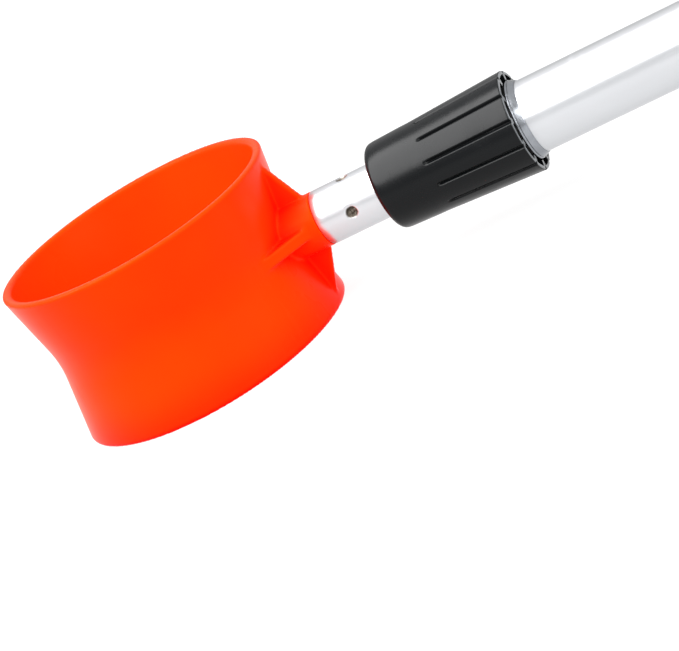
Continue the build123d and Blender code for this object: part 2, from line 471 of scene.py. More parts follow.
def new_material(name, **sockets):
    """A Principled material, with its tree helper, its shader and object coordinates."""
    material = bpy.data.materials.new(name)
    material.use_nodes = True
    material.node_tree.nodes.clear()
    tree = Tree(material.node_tree)
    shader = tree.add("ShaderNodeBsdfPrincipled")
    for socket, value in sockets.items():
        shader.inputs[socket.replace("_", " ")].default_value = value
    out = tree.add("ShaderNodeOutputMaterial")
    tree.tree.links.new(shader.outputs[0], out.inputs["Surface"])
    place = tree.add("ShaderNodeTexCoord").outputs["Object"]
    return material, tree, shader, place


def stretched(tree, place, scale):
    """Object coordinates scaled separately along each axis."""
    mapping = tree.add("ShaderNodeMapping", {"Vector": place, "Scale": scale})
    return mapping.outputs[0]


def noise(tree, vector, scale, detail=4.0, roughness=0.55):
    """Noise value from 0 to 1."""
    node = tree.add(
        "ShaderNodeTexNoise",
        {"Vector": vector, "Scale": scale, "Detail": detail, "Roughness": roughness},
    )
    return node.outputs["Fac"]


def spread(tree, value, low, high, to_low=0.0, to_high=1.0):
    """Maps a value from one range to another, held at its ends."""
    node = tree.add(
        "ShaderNodeMapRange",
        {"Value": value, "From Min": low, "From Max": high, "To Min": to_low, "To Max": to_high},
    )
    return node.outputs[0]


def tint(tree, value, first, second):
    """Mixes two colours by a value from 0 to 1."""
    node = tree.add("ShaderNodeMix", data_type="RGBA")
    for key, colour in ((6, first), (7, second)):
        if isinstance(colour, bpy.types.NodeSocket):
            tree.tree.links.new(colour, node.inputs[key])
        else:
            node.inputs[key].default_value = (*colour[:3], 1.0)
    tree.tree.links.new(value, node.inputs[0])
    return node.outputs[2]


def bump(tree, shader, height, strength, distance, under=None):
    """Links a height value to the shader's normal."""
    inputs = {"Height": height, "Strength": strength, "Distance": distance}
    if under is not None:
        inputs["Normal"] = under
    node = tree.add("ShaderNodeBump", inputs)
    tree.tree.links.new(node.outputs[0], shader.inputs["Normal"])
    return node.outputs[0]


def link(tree, value, shader, socket):
    """Links a value to one of the shader's sockets."""
    tree.tree.links.new(value, shader.inputs[socket])


def orange_plastic(colour):
    """Moulded orange plastic: satin, faint flow clouds, mould grain, light scuffs and painted shade that
    turns hollows deep red.
    """
    material, tree, shader, place = new_material(
        "trap_orange",
        Specular_IOR_Level=0.055,
        Specular_Tint=(1.0, 0.42, 0.1, 1.0),
    )
    clouds = noise(tree, place, 45.0, 3.0)
    even = (colour[0] * 0.96, colour[1] * 0.84, colour[2])
    # Painted shade: ambient occlusion turns hollows, pockets and inner corners from the base colour
    # towards a deep red.
    deep = (colour[0] * 0.97, colour[1] * 0.12, colour[2])
    base = tint(tree, spread(tree, clouds, 0.35, 0.65), colour, even)
    hollow_shade = tree.add("ShaderNodeAmbientOcclusion", {"Distance": 0.011}, samples=12).outputs["AO"]
    shade = spread(tree, hollow_shade, 0.45, 0.92, 1, 0)
    link(tree, tint(tree, shade, base, deep), shader, "Base Color")
    grain = noise(tree, place, 2600.0, 3.0)
    scuffs = noise(tree, stretched(tree, place, (500, 500, 90)), 1.0, 5.0, 0.7)
    satin = spread(tree, clouds, 0.3, 0.7, 0.26, 0.34)
    rough = tree.math("ADD", satin, spread(tree, scuffs, 0.55, 0.75, 0, 0.12))
    link(tree, rough, shader, "Roughness")
    first = bump(tree, shader, grain, 0.06, 0.00006)
    bump(tree, shader, clouds, 0.10, 0.0004, first)
    return material


def drawn_aluminium(colour):
    """Satin anodised tube: fine lengthwise draw lines, soft patches, rubbed marks and painted shade in
    the dimples.
    """
    material, tree, shader, place = new_material("tube_aluminium", Metallic=1.0)
    lines = noise(tree, stretched(tree, place, (3.0, 1500, 1500)), 1.0, 4.0, 0.6)
    patches = noise(tree, stretched(tree, place, (18, 60, 60)), 1.0, 3.0)
    rubs = noise(tree, stretched(tree, place, (900, 60, 60)), 1.0, 4.0, 0.65)
    grey = tuple(channel * 0.94 for channel in colour)
    base = tint(tree, spread(tree, patches, 0.35, 0.65), colour, grey)
    # Painted shade: the dimples, marked by the pit attribute, are darkened towards brown and made
    # rougher.
    pit_shade = tree.add("ShaderNodeAttribute", attribute_name="pit").outputs["Fac"]
    link(tree, tint(tree, pit_shade, base, (0.13, 0.11, 0.09)), shader, "Base Color")
    satin = spread(tree, lines, 0.3, 0.7, 0.29, 0.37)
    rough = tree.math("ADD", satin, spread(tree, rubs, 0.6, 0.8, 0, 0.1))
    link(tree, tree.math("ADD", rough, tree.math("MULTIPLY", pit_shade, 0.25)), shader, "Roughness")
    first = bump(tree, shader, lines, 0.10, 0.00003)
    bump(tree, shader, rubs, 0.05, 0.00003, first)
    return material


def black_plastic(name, colour, low_rough, high_rough, specular, end_face_light=None):
    """Moulded black plastic: uneven sheen, fine grain and scuffs; an optional pale colour paints light
    on the faces towards +X.
    """
    material, tree, shader, place = new_material(name, Specular_IOR_Level=specular)
    clouds = noise(tree, place, 160.0, 4.0)
    scuffs = noise(tree, stretched(tree, place, (260, 900, 900)), 1.0, 6.0, 0.7)
    worn = tuple(min(channel * 2.2 + 0.01, 1.0) for channel in colour)
    base = tint(tree, spread(tree, scuffs, 0.62, 0.85, 0, 0.6), colour, worn)
    # Painted light: faces turned towards +X are tinted towards a paler grey, as if lit.
    if end_face_light is not None:
        normal = tree.add("ShaderNodeNewGeometry").outputs["Normal"]
        facing = tree.add("ShaderNodeSeparateXYZ", {0: normal}).outputs["X"]
        base = tint(tree, spread(tree, facing, 0.55, 0.95), base, end_face_light)
    link(tree, base, shader, "Base Color")
    rough = tree.math(
        "ADD",
        spread(tree, clouds, 0.3, 0.7, low_rough, high_rough),
        spread(tree, scuffs, 0.6, 0.8, 0, 0.12),
    )
    link(tree, rough, shader, "Roughness")
    grain = noise(tree, place, 3800.0, 2.0)
    first = bump(tree, shader, grain, 0.08, 0.00004)
    bump(tree, shader, clouds, 0.08, 0.0002, first)
    return material


def turned_metal(name, colour, low_rough, high_rough):
    """Turned bare metal: fine rings about the shaft and slight tarnish."""
    material, tree, shader, place = new_material(name, Metallic=1.0)
    rings = noise(tree, stretched(tree, place, (5200, 40, 40)), 1.0, 3.0, 0.6)
    tarnish = noise(tree, place, 300.0, 4.0)
    dull = tuple(channel * 0.72 for channel in colour)
    link(tree, tint(tree, spread(tree, tarnish, 0.4, 0.7), colour, dull), shader, "Base Color")
    link(tree, spread(tree, rings, 0.3, 0.7, low_rough, high_rough), shader, "Roughness")
    bump(tree, shader, rings, 0.2, 0.00004)
    return material


def nylon(name, colour):
    """Natural nylon: milky, slightly uneven, faint machining grain."""
    material, tree, shader, place = new_material(
        name, Subsurface_Weight=0.2, Subsurface_Scale=0.001
    )
    clouds = noise(tree, place, 220.0, 3.0)
    warm = (colour[0] * 0.95, colour[1] * 0.92, colour[2] * 0.84)
    link(tree, tint(tree, spread(tree, clouds, 0.35, 0.65), colour, warm), shader, "Base Color")
    link(tree, spread(tree, clouds, 0.3, 0.7, 0.42, 0.55), shader, "Roughness")
    bump(tree, shader, noise(tree, place, 3000.0, 2.0), 0.1, 0.00005)
    return material


def rubber(name, colour, low_rough, high_rough):
    """Moulded rubber: matt, with a fine pebble skin and paler dusty rubs."""
    material, tree, shader, place = new_material(name, Specular_IOR_Level=0.35, Sheen_Weight=0.08)
    pebbles = tree.add(
        "ShaderNodeTexVoronoi", {"Vector": place, "Scale": 1500.0}, feature="F1"
    ).outputs["Distance"]
    dust = noise(tree, stretched(tree, place, (60, 160, 160)), 1.0, 6.0, 0.65)
    pale = tuple(min(channel * 2.0 + 0.02, 1.0) for channel in colour)
    link(tree, tint(tree, spread(tree, dust, 0.5, 0.8, 0, 0.6), colour, pale), shader, "Base Color")
    link(tree, spread(tree, dust, 0.3, 0.7, low_rough, high_rough), shader, "Roughness")
    bump(tree, shader, pebbles, 0.25, 0.00008)
    return material


# ---- sizes and colours a user would change ---------------------------------------------------------


def length_property(name, description, default, high=1.0):
    """A length in metres for a property group."""
    return bpy.props.FloatProperty(
        name=name,
        description=description,
        default=default,
        min=0.0,
        max=high,
        precision=5,
        subtype="DISTANCE",
        unit="LENGTH",
    )


def colour_property(name, description, default):
    """A linear colour for a property group."""
    return bpy.props.FloatVectorProperty(
        name=name, description=description, default=default, min=0.0, max=1.0, subtype="COLOR"
    )


class RetrieverTrap(bpy.types.PropertyGroup):
    """The orange trap ring and its plunger."""

    plastic: colour_property("Plastic", "Colour of the moulded trap ring", (0.95, 0.025, 0.0005))
    nylon: colour_property("Nylon", "Colour of the plunger", (0.78, 0.77, 0.72))
    spring: colour_property("Spring", "Colour of the spring wire", (0.52, 0.52, 0.53))
    cell: length_property("Skin Cell", "Spacing of the ring's surface points", 0.00038, 0.01)
    web_fillet: length_property("Web Fillet", "Inner corner where webs meet the ring", 0.00045, 0.01)
    coil_turns: bpy.props.IntProperty(
        name="Coil Turns", description="Turns of the plunger spring", default=9, min=2, max=40
    )


class RetrieverTubes(bpy.types.PropertyGroup):
    """The three telescoping tubes."""

    aluminium: colour_property("Aluminium", "Colour of the satin tubes", (0.63, 0.64, 0.66))
    pit_depth: length_property("Pit Depth", "Depth of the staked dimples", 0.0007, 0.002)
    segments: bpy.props.IntProperty(
        name="Segments", description="Faces around each tube", default=144, min=24, max=512
    )


class RetrieverCollars(bpy.types.PropertyGroup):
    """The twist collars and the parts they clamp."""

    plastic: colour_property("Plastic", "Colour of the collars", (0.0026, 0.0030, 0.0034))
    # Painted light: the paler colour laid on the collars' wide end faces, as if lit.
    end_face_light: colour_property("Rim", "Colour of the collars' wide end faces", (0.11, 0.115, 0.12))
    sleeve: colour_property("Sleeve", "Colour of the thread sleeves", (0.03, 0.03, 0.032))
    ring: colour_property("Ring", "Colour of the metal rings", (0.30, 0.315, 0.34))
    clamp: colour_property("Clamp", "Colour of the clamp rings and glides", (0.74, 0.72, 0.66))
    lobes: bpy.props.IntProperty(
        name="Lobes", description="Finger lobes around a collar", default=12, min=4, max=40
    )
    edge_round: length_property("Edge Round", "Softness of the lobes' edges", 0.00016, 0.001)


class RetrieverHandle(bpy.types.PropertyGroup):
    """The rubber grip and its end cap."""

    grip: colour_property("Grip", "Colour of the grip rubber", (0.016, 0.016, 0.017))
    cap: colour_property("Cap", "Colour of the end cap", (0.02, 0.02, 0.021))
    bumper: colour_property("Bumper", "Colour of the inner bumper", (0.05, 0.045, 0.04))
    stud_size: length_property("Stud Size", "Length of one grip stud", 0.0026, 0.01)
    stud_pitch: length_property("Stud Pitch", "Distance between rows of studs", 0.0041, 0.02)
    around: bpy.props.IntProperty(
        name="Studs Around", description="Studs in one row", default=18, min=6, max=60
    )


class RetrieverStage(bpy.types.PropertyGroup):
    """Floor, light and camera."""

    floor: colour_property("Floor", "Colour of the floor", (0.07, 0.07, 0.07))
    floor_size: length_property("Floor Size", "Side of the square floor", 60.0, 500.0)
    sky: bpy.props.FloatProperty(
        name="Sky", description="Brightness of the light all round", default=0.85, min=0.0, max=10.0
    )
    key_power: bpy.props.FloatProperty(
        name="Key Power",
        description="Power of the large soft light",
        default=34.0,
        min=0.0,
        unit="POWER",
    )
    fill_power: bpy.props.FloatProperty(
        name="Fill Power",
        description="Power of the soft light at the butt side",
        default=5.5,
        min=0.0,
        unit="POWER",
    )
    lens: bpy.props.FloatProperty(
        name="Lens", description="Focal length in millimetres", default=134.494, min=10.0, max=400.0
    )


GROUPS = {
    "retriever_trap": RetrieverTrap,
    "retriever_tubes": RetrieverTubes,
    "retriever_collars": RetrieverCollars,
    "retriever_handle": RetrieverHandle,
    "retriever_stage": RetrieverStage,
}


# ---- trap ring ------------------------------------------------------------------------------------

# The wall's outer line runs straight from the mouth corner to the waist corner, and the waist is
# an arc. Sizes are in millimetres, and stations are counted from the ring's axis.
MOUTH_CORNER = 26.3
WAIST_CORNER = 23.75
WAIST_BLEND = 20.0
RING_WALL = 1.7
LIP_ROUND = 0.55
SKIN_MARGIN = 0.02
TIP_RADIUS = 5.0
WEB_ROOT = 23.2
BOSS_ROOT = 23.3
WALL_CORE = 22.9
BOSS_ROUND = 0.12
UPRIGHT_HALF = 0.65
UPRIGHT_TOP = 13.2
UPRIGHT_START = 25.9
UPRIGHT_END = 29.4
LEVEL_HALF = 1.1
LEVEL_SIDE = 12.1
LEVEL_START = 20.5
LEVEL_END = 28.8
SPIGOT_RADIUS = 4.15
SPIGOT_ROOT = 28.0
PLUNGER_RADIUS = 1.8
PLUNGER_WAY = 1.88
PLUNGER_BORE = 2.6
PLUNGER_SHOULDER = 26.0
BORE_ROOT = 15.0
STAKE_STATION = 37.3
STAKE_RADIUS = 1.6
STAKE_FLOOR = 3.3
NOT_HERE = 50.0


def beyond(x, y, start, end):
    """Distance outside the straight edge from one point to another, both (x, y)."""
    along = Vector(end) - Vector(start)
    along.normalize()
    return (y - start[1]) * along.x - (x - start[0]) * along.y


def trap_field(fillet):
    """Distance field of the trap ring, in millimetres about the shaft, with fillets at its webs."""
    half = HALF_RING / MM
    slope = (MOUTH_CORNER - WAIST_CORNER) / half
    lean = math.cos(math.atan(slope))
    arc_half = WAIST_BLEND * math.sin(math.atan(slope))
    arc_offset = WAIST_BLEND / lean
    boss_end = stations("tip_tube")[0]
    spigot_end = stations("trap_ring")[1]

    def field(x, y, z):
        out = np.hypot(x, y)
        up = np.abs(z)
        near = np.minimum(up, arc_half)
        bend = arc_offset - np.sqrt(WAIST_BLEND**2 - near**2)
        profile = np.where(up < arc_half, bend, slope * up)
        outer = (out - WAIST_CORNER - profile) * lean + SKIN_MARGIN
        inner = (WAIST_CORNER - RING_WALL + profile - out) * lean
        band = rounded_meet(np.maximum(outer, inner), up - half, LIP_ROUND)
        about = np.hypot(y, z)
        root = WEB_ROOT - out
        boss = rounded_meet(about - TIP_RADIUS, x - boss_end, BOSS_ROUND)
        boss = np.maximum(boss, BOSS_ROOT - x)
        slant = beyond(x, up, (UPRIGHT_START, UPRIGHT_TOP), (UPRIGHT_END, TIP_RADIUS - 0.1))
        edge = np.maximum(np.maximum(slant, up - UPRIGHT_TOP), x - UPRIGHT_END)
        upright = np.maximum(rounded_meet(np.abs(y) - UPRIGHT_HALF, edge, 0.25), root)
        slant = beyond(x, np.abs(y), (LEVEL_START, LEVEL_SIDE), (LEVEL_END, TIP_RADIUS - 0.3))
        level = rounded_meet(up - LEVEL_HALF, np.maximum(slant, x - LEVEL_END), 0.3)
        level = np.maximum(level, np.maximum(root, BORE_ROOT - x))
        webs = soft_union(boss, np.minimum(upright, level), fillet)
        webs = np.where(x > 0, webs, NOT_HERE)
        solid = soft_union(band, np.maximum(webs, WALL_CORE - out), fillet)
        spigot = np.maximum(about - SPIGOT_RADIUS, np.maximum(x - spigot_end, SPIGOT_ROOT - x))
        solid = np.minimum(solid, spigot)
        way = np.maximum(about - PLUNGER_WAY, BORE_ROOT - x)
        pocket = np.maximum(about - PLUNGER_BORE, PLUNGER_SHOULDER - x)
        solid = np.maximum(solid, -np.minimum(way, pocket))
        side = np.minimum(np.hypot(x - STAKE_STATION, y), np.hypot(x - STAKE_STATION, z))
        reach = np.maximum(np.abs(y), up)
        socket = np.maximum(side - STAKE_RADIUS, STAKE_FLOOR - reach)
        return np.maximum(solid, -socket)

    return field


class RETRIEVER_OT_trap_ring(bpy.types.Operator):
    """Builds the moulded orange ring with its neck, webs and spigot"""

    bl_idname = "retriever.trap_ring"
    bl_label = "Trap Ring"

    def execute(self, context):
        sizes = context.scene.retriever_trap
        step = sizes.cell / MM
        field = trap_field(sizes.web_fillet / MM)
        margin = 2 * step
        reach = MOUTH_REACH / MM + margin
        half = HALF_RING / MM + margin
        end = stations("trap_ring")[1] + margin
        vertices, faces = skin(field, (-reach, -reach, -half), (end, reach, half), step)
        vertices = settle(field, vertices)
        mesh = mesh_from("trap_ring_skin", vertices, faces.tolist())
        piece = new_object("trap_ring_moulding", mesh)
        finish_piece(piece, orange_plastic(sizes.plastic), "trap_orange", "tip_section", "trap_ring")
        return {"FINISHED"}


FLANGE_LENGTH = 2.0
PIN_RADIUS = 1.2
SEAT_PIN = 3
SPRING_WIRE = 0.45
SPRING_RADIUS = 2.0


class RETRIEVER_OT_plunger(bpy.types.Operator):
    """Builds the nylon plunger, its coil spring and the seat behind it"""

    bl_idname = "retriever.plunger"
    bl_label = "Spring Plunger"

    def execute(self, context):
        sizes = context.scene.retriever_trap
        white = nylon("plunger_nylon", sizes.nylon)
        start, end = stations("trap_plunger")
        flange = radius_of("trap_plunger")
        flange_start = PLUNGER_SHOULDER + 0.05
        corners = [
            (start, 0, 0),
            (start, PLUNGER_RADIUS, 1.3),
            (flange_start, PLUNGER_RADIUS, 0.1),
            (flange_start, flange, 0.15),
            (flange_start + FLANGE_LENGTH, flange, 0.15),
            (flange_start + FLANGE_LENGTH, PIN_RADIUS, 0.1),
            (end, PIN_RADIUS, 0.3),
            (end, 0, 0),
        ]
        plunger = turned("plunger_nose", corners, 48, 10)
        finish_piece(plunger, white, "plunger_nylon", "plunger", "trap_plunger")
        front, back = stations("spring_seat")
        wide = radius_of("spring_seat")
        corners = [
            (front, 0, 0),
            (front, PIN_RADIUS, 0.25),
            (front + SEAT_PIN, PIN_RADIUS, 0.1),
            (front + SEAT_PIN, wide, 0.2),
            (back, wide, 0.2),
            (back, 0, 0),
        ]
        seat = turned("spring_seat_plug", corners, 48)
        finish_piece(seat, white, "plunger_nylon", "tip_section", "spring_seat")
        low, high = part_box("plunger_spring")
        wire = SPRING_WIRE * MM
        blank = new_object("plunger_coil", bpy.data.meshes.new("plunger_coil"))
        steel = turned_metal("spring_steel", sizes.spring, 0.25, 0.38)
        coil = grow(
            blank,
            coil_tree(),
            turns=float(sizes.coil_turns),
            coil_radius=SPRING_RADIUS * MM,
            wire_radius=wire / 2,
            length=high.x - low.x - wire,
            centre=(low.x + wire / 2, 0.0, SHAFT_Z),
            material=steel,
        )
        finish_piece(coil, steel, "spring_steel", "tip_section", "plunger_spring")
        return {"FINISHED"}


# ---- tubes ----------------------------------------------------------------------------------------


TUBE_WALL = 0.8
STAKE_REACH = 2.2
STAKE_STEP = 0.1
STAKE_CLEAR = 4.0
PIT_RADIUS = 1.18
HALO_RADIUS = 1.8
LUMP_RADIUS = 1.5
LUMP_HEIGHT = 0.75


def staked_tube(name, start, end, outer, inner, pit_depth):
    """The tip tube, with four staked dimples pressed into its end, as a closed mesh."""
    stake = STAKE_STATION
    fine = np.arange(stake - STAKE_REACH, stake + STAKE_REACH, STAKE_STEP)
    past = stake + STAKE_CLEAR
    nose = [(start, inner + 0.12), (start, outer - 0.1), (start + 0.1, outer)]
    rows = [(x, r, 0.0) for x, r in nose]
    outside = np.concatenate(([start + 1.5], fine, [past, end - 0.1]))
    inside = np.concatenate(([end - 0.1, past], fine[::-2], [start + 1.5]))
    rows += [(x, outer, 1.0) for x in outside]
    rows += [(end, outer - 0.1, 0.0), (end, inner + 0.1, 0.0)]
    rows += [(x, inner, -1.0) for x in inside]
    angles = []
    for quarter in range(4):
        centre = quarter * math.pi / 2
        close = np.arange(-STAKE_REACH, STAKE_REACH, STAKE_STEP) / outer
        gap = math.pi / 2 - (close[-1] - close[0])
        spread_out = close[-1] + np.arange(1, 9) * gap / 9
        angles += [centre + value for value in np.concatenate((close, spread_out))]
    vertices = []
    shade = []
    for angle in angles:
        turn = (angle + math.pi / 4) % (math.pi / 2) - math.pi / 4
        for x, radius, side in rows:
            away = math.hypot(x - stake, turn * outer)
            drop = 0.0
            if side > 0:
                uneven = 0.05 * math.sin(2.0 * x + 7.0 * angle)
                uneven += 0.03 * math.cos(5.0 * x - 11.0 * angle)
                halo = np.clip((HALO_RADIUS - away) / 0.7, 0, 1)
                crumple = 0.16 * math.sin(6.1 * x + 9.0 * angle) * math.cos(4.3 * x - 21.0 * angle)
                wall = eased((PIT_RADIUS + uneven - away) / 0.5)
                drop = (pit_depth + crumple) * wall + 0.04 * halo**2
                shade.append(float(np.clip((PIT_RADIUS + 0.04 + uneven - away) / 0.25, 0, 1)))
            else:
                if side < 0:
                    drop = LUMP_HEIGHT * eased((LUMP_RADIUS - away) / 0.7)
                shade.append(0.0)
            level = radius - drop
            vertices.append((x, level * math.cos(angle), level * math.sin(angle)))
    mesh = mesh_from(name, vertices, hoop_faces(len(angles), len(rows)))
    # The pit attribute carries the dimple mask that the tube material uses for painted shade.
    pit = mesh.attributes.new("pit", "FLOAT", "POINT")
    pit.data.foreach_set("value", np.array(shade, np.float32))
    mesh.shade_smooth()
    mesh.set_sharp_from_angle(angle=math.radians(50))
    return new_object(name, mesh, smooth=False)


class RETRIEVER_OT_tubes(bpy.types.Operator):
    """Builds the three telescoping aluminium tubes"""

    bl_idname = "retriever.tubes"
    bl_label = "Tubes"

    def execute(self, context):
        sizes = context.scene.retriever_tubes
        metal = drawn_aluminium(sizes.aluminium)
        start, end = stations("tip_tube")
        inner = TIP_RADIUS - TUBE_WALL
        tip = staked_tube("tip_tube_drawn", start, end, TIP_RADIUS, inner, sizes.pit_depth / MM)
        finish_piece(tip, metal, "tube_aluminium", "tip_section", "tip_tube")
        for node, body in (("mid_tube", "mid_section"), ("base_tube", "handle")):
            start, end = stations(node)
            outer = radius_of(node)
            corners = [
                (start, outer - TUBE_WALL, 0.12),
                (start, outer, 0.2),
                (end, outer, 0.2),
                (end, outer - TUBE_WALL, 0.12),
            ]
            tube = turned(f"{node}_drawn", corners, sizes.segments, 4)
            finish_piece(tube, metal, "tube_aluminium", body, node)
        return {"FINISHED"}


# ---- twist collars and locks ----------------------------------------------------------------------

COLLARS = (
    ("tip", "tip_tube", "mid_tube", "mid_section"),
    ("mid", "mid_tube", "base_tube", "handle"),
)
# Radii of a collar are counted out from the tube it screws on, and places along it from its small end.
SMALL_END_RISE = 1.45
VALLEY_RISE = 1.7
CREST_RISE = 2.65
BORE_RISE = 0.88
POCKET_RISE = 1.93
CONE_RISE = 0.7
MOUTH_GAP = 0.3
COLLAR_SHOULDER = 1.2
VALLEY_START = 7.0
VALLEY_RUN = 0.02
CREST_START = 8.5
BORE_START = 8.0
CONE_START = 2.0
WIDE_ROUND = 0.25
POCKET_HALF_WIDTH = 1.7
GROOVE_START = 10.4
GROOVE_DEPTH = 0.6
GROOVE_HALF_WIDTH = 0.34
POCKET_DEPTH = 9.0
FIRST_GROOVE = math.radians(8.8)


def collar_sector(name, length, inner_tube, outer_tube, lobes, edge_round):
    """One lobe of a collar, from groove to groove about +Y, with its small end at x = 0."""
    small_end = outer_tube + SMALL_END_RISE
    valley = outer_tube + VALLEY_RISE
    crest = outer_tube + CREST_RISE
    bore = outer_tube + BORE_RISE
    pocket = outer_tube + POCKET_RISE
    mouth = inner_tube + MOUTH_GAP
    half_pitch = math.pi / lobes
    pocket_half = POCKET_HALF_WIDTH / pocket
    nose_low = small_end - COLLAR_SHOULDER

    def base_radius(x):
        """Radius between the grooves: a cone, a nearly straight run, and a cone to the crest."""
        if x < VALLEY_START:
            return small_end + (valley - small_end) * x / VALLEY_START
        if x < CREST_START:
            return valley + VALLEY_RUN * (x - VALLEY_START) / (CREST_START - VALLEY_START)
        foot = valley + VALLEY_RUN
        return foot + (crest - valley - VALLEY_RUN) * (x - CREST_START) / (length - CREST_START)

    def skin_radius(x, from_groove):
        """Radius of the outer skin at an angle from the nearest groove's middle."""
        across = abs(from_groove) * crest / (GROOVE_HALF_WIDTH + edge_round)
        depth = GROOVE_DEPTH * eased((x - GROOVE_START) / 1.2 + 0.2) * (1 - eased(across))
        return base_radius(x) - depth

    close = [0.0, 0.05, 0.1, 0.15, 0.2, 0.26, 0.32, 0.4, 0.5, 0.62, 0.8, 1.05]
    groove_part = np.array(close) / crest
    middle = np.linspace(groove_part[-1], half_pitch, 7)[1:]
    half_side = list(groove_part) + list(middle)
    edge = half_pitch - pocket_half
    half_side += [edge, edge + 0.03 / pocket]
    half_side = sorted(set(round(value, 7) for value in half_side))
    from_left = [value - half_pitch for value in half_side]
    columns = from_left + [-value for value in reversed(from_left[:-1])]

    nose = []
    for step in range(9):
        angle = math.pi / 2 * step / 8
        along = COLLAR_SHOULDER * (1 - math.cos(angle))
        nose.append((along, nose_low + COLLAR_SHOULDER * math.sin(angle)))
    body = [1.6, 3.0, 5.0, 7.0, 8.0, 8.5, 9.0, 9.5]
    body += list(np.arange(9.8, 12.6, 0.16))
    body += list(np.arange(13.0, length - 0.6, 0.7)) + [length - 0.5]
    vertices = []
    for angle in columns:
        from_groove = half_pitch - abs(angle)
        in_pocket = abs(angle) < pocket_half
        deep = pocket if in_pocket else bore
        points = list(nose)
        points += [(x, skin_radius(x, from_groove)) for x in body]
        last = skin_radius(length, from_groove)
        for step in range(5):
            turn = math.pi / 2 * step / 4
            along = length - WIDE_ROUND + WIDE_ROUND * math.sin(turn)
            points.append((along, last - WIDE_ROUND + WIDE_ROUND * math.cos(turn)))
        points += [(length, deep + 0.05), (length - 0.05, deep)]
        back = length - POCKET_DEPTH
        points += [(back + 0.02, deep), (back, bore)]
        points += [(BORE_START, bore), (BORE_START, outer_tube + CONE_RISE)]
        points += [(CONE_START, outer_tube - 0.05), (CONE_START, mouth)]
        points += [(0.2, mouth), (0.06, mouth + 0.06), (0.0, mouth + 0.2)]
        points.append((0.0, nose_low - 0.3))
        ring = len(points)
        for x, radius in points:
            vertices.append((x * MM, radius * math.cos(angle) * MM, radius * math.sin(angle) * MM))
    faces = []
    for column in range(len(columns) - 1):
        here = column * ring
        there = here + ring
        for row in range(ring):
            after = (row + 1) % ring
            faces.append((here + row, there + row, there + after, here + after))
    mesh = bpy.data.meshes.new(name)
    mesh.from_pydata(vertices, [], faces)
    return new_object(name, mesh)


class RETRIEVER_OT_collars(bpy.types.Operator):
    """Builds the two black twist collars, each from one lobe repeated about the shaft"""

    bl_idname = "retriever.collars"
    bl_label = "Twist Collars"

    def execute(self, context):
        sizes = context.scene.retriever_collars
        # The last colour is painted light on the collars' wide end faces.
        black = black_plastic("collar_black", sizes.plastic, 0.22, 0.30, 0.14, sizes.end_face_light)
        tree = repeat_around_tree()
        for joint, inner, outer, _ in COLLARS:
            start, end = stations(f"{joint}_collar")
            sector = collar_sector(
                f"{joint}_collar_lobed",
                end - start,
                radius_of(inner),
                radius_of(outer),
                sizes.lobes,
                sizes.edge_round / MM,
            )
            collar = grow(
                sector,
                tree,
                count=sizes.lobes,
                first_angle=FIRST_GROOVE + math.pi / sizes.lobes,
                centre=(RING_X + start * MM, 0.0, SHAFT_Z),
                material=black,
            )
            turn_outward(collar.data)
            collar.data.shade_smooth()
            collar.data.set_sharp_from_angle(angle=math.radians(40))
            finish_piece(collar, black, "collar_black", f"{joint}_collar", f"{joint}_collar")
        return {"FINISHED"}


BONDED = 0.02
RING_FOOT = 0.15


class RETRIEVER_OT_locks(bpy.types.Operator):
    """Builds the metal rings and gives the thread sleeves, clamp rings, glides and stop sleeves their
    finish
    """

    bl_idname = "retriever.locks"
    bl_label = "Collar Rings, Sleeves and Glides"

    def execute(self, context):
        sizes = context.scene.retriever_collars
        silver = turned_metal("ring_metal", sizes.ring, 0.18, 0.28)
        dark = black_plastic("sleeve_dark", sizes.sleeve, 0.4, 0.5, 0.4)
        milky = nylon("glide_nylon", sizes.clamp)
        for joint, inner, outer, body in COLLARS:
            start, end = stations(f"{joint}_collar_ring")
            tube = radius_of(outer)
            wide = radius_of(f"{joint}_collar_ring")
            low = tube + RING_FOOT
            fall = (wide - low) / (end - start)
            corners = [
                (start, tube + BONDED, 0),
                (start, wide, 0.06),
                (start + 0.22, wide - fall * 0.22, 0.05),
                (start + 0.32, wide - fall * 0.32 - 0.09, 0.03),
                (start + 0.45, wide - fall * 0.45, 0.05),
                (end - 0.1, low + fall * 0.1, 0.08),
                (end, low - 0.05, 0.04),
                (end, tube + BONDED, 0),
            ]
            ring = turned(f"{joint}_collar_ring_turned", corners, 144, 5)
            finish_piece(ring, silver, "ring_metal", body, f"{joint}_collar_ring")
            for part, material in (
                ("thread_sleeve", dark),
                ("clamp_ring", milky),
                ("glide", milky),
                ("stop_sleeve", milky),
            ):
                dress_node(f"{joint}_{part}", material)
        return {"FINISHED"}


# ---- handle end -----------------------------------------------------------------------------------


def stud_shape(name, size):
    """One low diamond stud standing on +Y, as a closed mesh of a few faces."""
    long, wide, tall, sink = size * 0.5, size * 0.34, size * 0.17, size * 0.2
    rings = []
    for share, height in ((1.0, -sink), (1.0, 0.0), (0.72, tall)):
        ring = []
        for step in range(8):
            angle = math.pi * step / 4
            shape = 1.0 if step % 2 == 0 else 0.72
            reach = share * shape
            ring.append((long * reach * math.cos(angle), height, wide * reach * math.sin(angle)))
        rings.append(ring)
    vertices = [point for ring in rings for point in ring]
    faces = [tuple(range(8)), tuple(reversed(range(16, 24)))]
    for level in range(2):
        for step in range(8):
            here = level * 8
            after = (step + 1) % 8
            faces.append((here + step, here + 8 + step, here + 8 + after, here + after))
    mesh = bpy.data.meshes.new(name)
    mesh.from_pydata(vertices, [], faces)
    turn_outward(mesh)
    return new_object(name, mesh)


